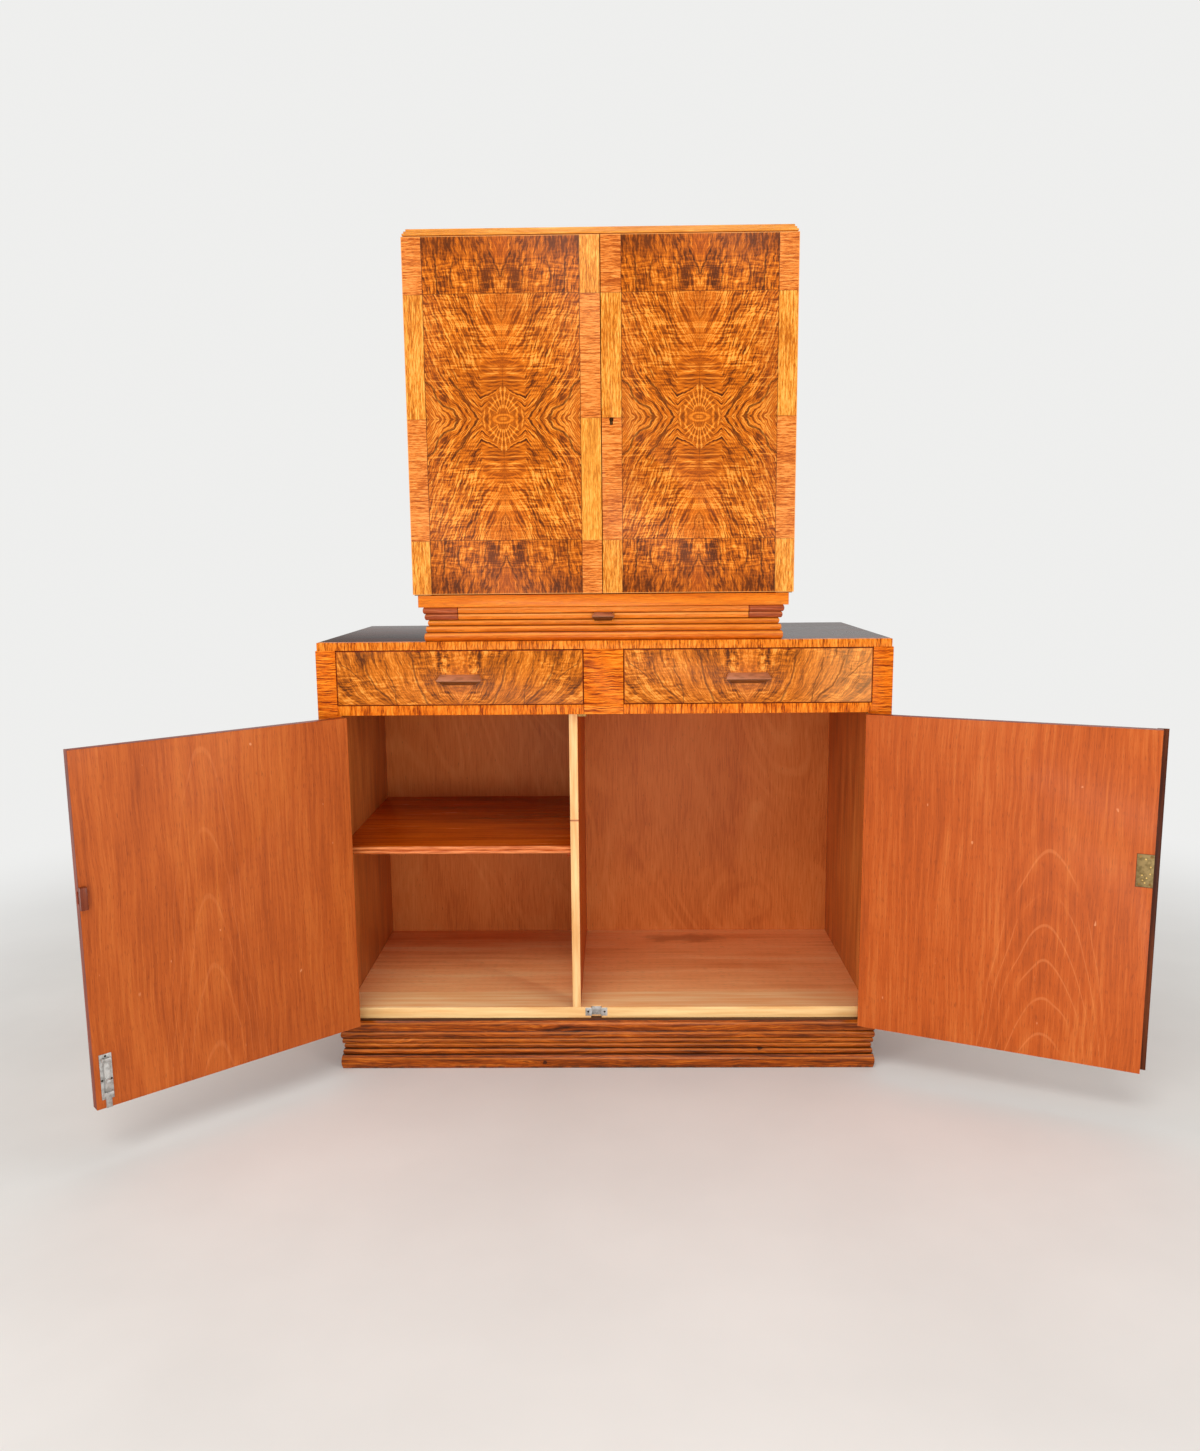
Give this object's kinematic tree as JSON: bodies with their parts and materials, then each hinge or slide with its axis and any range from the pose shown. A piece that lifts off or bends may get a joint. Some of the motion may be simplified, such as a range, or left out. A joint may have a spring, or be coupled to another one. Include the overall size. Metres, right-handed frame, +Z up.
{
  "type": "bar cabinet",
  "caption": "Two-stage veneered bar cabinet: upper cupboard on a reeded stand with pull-out serving slide, drawers, lower cupboard with shelf and upright, reeded plinth.",
  "frame": {"origin": "on the floor at the centre of the lower cabinet's footprint, under the plinth's middle bearer", "axes": "+X to the right as seen from the front, +Y to the back, +Z up"},
  "size_m": [1.8011, 0.8314, 1.572],
  "materials": {
    "walnut_burl": "gloss burl veneer",
    "walnut_crossband": "gloss cross-grained veneer",
    "walnut_crown": "gloss crown-cut veneer",
    "cornice_walnut": "gloss",
    "stand_reeds": "gloss",
    "guide_reeds": "gloss",
    "slide_wood": "gloss",
    "handle_mahogany": "gloss",
    "plinth_rosewood": "gloss",
    "counter_top": "high gloss",
    "carcass_side": "gloss",
    "carcass_wood": "raw",
    "interior_wood": "satin",
    "interior_floor": "satin",
    "shelf_wood": "gloss",
    "plywood": "satin",
    "mahogany_door": "satin",
    "mahogany_block": "satin",
    "dark_strip": "gloss",
    "brass": "aged",
    "steel": "dull"
  },
  "bodies": {
    "cabinet": {"plinth": "plinth_rosewood", "bottom_board": "interior_floor", "bolt_keep": "steel", "side_left": "carcass_side", "side_right": "carcass_side", "stile_left": "walnut_crossband", "stile_right": "walnut_crossband", "drawer_board": "walnut_crossband", "stile_centre": "walnut_crossband", "drawer_partition": "carcass_wood", "divider": "interior_wood", "lower_back": "plywood", "counter_edge": "walnut_crossband", "counter_board": "counter_top", "shelf": "shelf_wood", "shelf_batten_left": "interior_wood", "shelf_batten_right": "interior_wood", "hinge_fixed_left": "brass", "hinge_fixed_right": "brass", "stand_frame": "stand_reeds", "slide_guide_left": "guide_reeds", "slide_guide_right": "guide_reeds", "under_board": "stand_reeds", "upper_side_left": "carcass_side", "upper_side_right": "carcass_side", "upper_bottom": "interior_wood", "upper_top": "interior_wood", "upper_back": "plywood", "upper_shelf": "interior_wood", "cornice": "cornice_walnut", "pivot_lower_left": "brass", "pivot_lower_right": "brass", "pivot_upper_left": "brass", "pivot_upper_right": "brass"},
    "left_door": {"lower_door_left": "mahogany_door", "hinge_leaf_left": "brass", "strike_block": "mahogany_block", "bolt_plate": "steel"},
    "door_bolt": {"door_bolt": "steel"},
    "right_door": {"lower_door_right": "mahogany_door", "hinge_leaf_right": "brass", "cover_strip": "dark_strip", "lower_lock": "brass", "lower_escutcheon": "brass"},
    "lower_lock_bolt": {"lower_lock_bolt": "brass"},
    "upper_left_door": {"upper_door_left": "walnut_burl"},
    "upper_right_door": {"upper_door_right": "walnut_burl", "upper_lock": "brass", "upper_escutcheon": "brass"},
    "upper_lock_bolt": {"upper_lock_bolt": "brass"},
    "left_drawer": {"drawer_front_left": "walnut_crown", "drawer_box_left": "carcass_wood", "drawer_bottom_left": "plywood", "drawer_handle_left": "handle_mahogany"},
    "right_drawer": {"drawer_front_right": "walnut_crown", "drawer_box_right": "carcass_wood", "drawer_bottom_right": "plywood", "drawer_handle_right": "handle_mahogany"},
    "serving_slide": {"serving_slide": "slide_wood", "slide_handle": "handle_mahogany"}
  },
  "joints": [
    {"name": "left_door_hinge", "type": "hinge", "parent": "cabinet", "child": "left_door", "pos_m": [-0.4915, -0.2413, 0.404], "axis": [0, 0, -1], "range_deg": [-137.8, 37.2]},
    {"name": "right_door_hinge", "type": "hinge", "parent": "cabinet", "child": "right_door", "pos_m": [0.4915, -0.2413, 0.404], "axis": [0, 0, 1], "range_deg": [-155.8, 19.2]},
    {"name": "door_bolt_slide", "type": "slide", "parent": "left_door", "child": "door_bolt", "axis": [0, 0, 1], "range_m": [0, 0.025]},
    {"name": "lower_lock_throw", "type": "slide", "parent": "right_door", "child": "lower_lock_bolt", "axis": [0.9121, -0.4099, 0], "range_m": [0, 0.008]},
    {"name": "upper_left_hinge", "type": "hinge", "parent": "cabinet", "child": "upper_left_door", "pos_m": [-0.344, -0.225, 1.245], "axis": [0, 0, -1], "range_deg": [0, 95]},
    {"name": "upper_right_hinge", "type": "hinge", "parent": "cabinet", "child": "upper_right_door", "pos_m": [0.344, -0.225, 1.245], "axis": [0, 0, 1], "range_deg": [0, 95]},
    {"name": "upper_lock_throw", "type": "slide", "parent": "upper_right_door", "child": "upper_lock_bolt", "axis": [-1, 0, 0], "range_m": [0, 0.008]},
    {"name": "left_drawer_slide", "type": "slide", "parent": "cabinet", "child": "left_drawer", "axis": [0, -1, 0], "range_m": [0, 0.34]},
    {"name": "right_drawer_slide", "type": "slide", "parent": "cabinet", "child": "right_drawer", "axis": [0, -1, 0], "range_m": [0, 0.34]},
    {"name": "serving_slide_run", "type": "slide", "parent": "cabinet", "child": "serving_slide", "axis": [0, -1, 0], "range_m": [0, 0.3]}
  ]
}
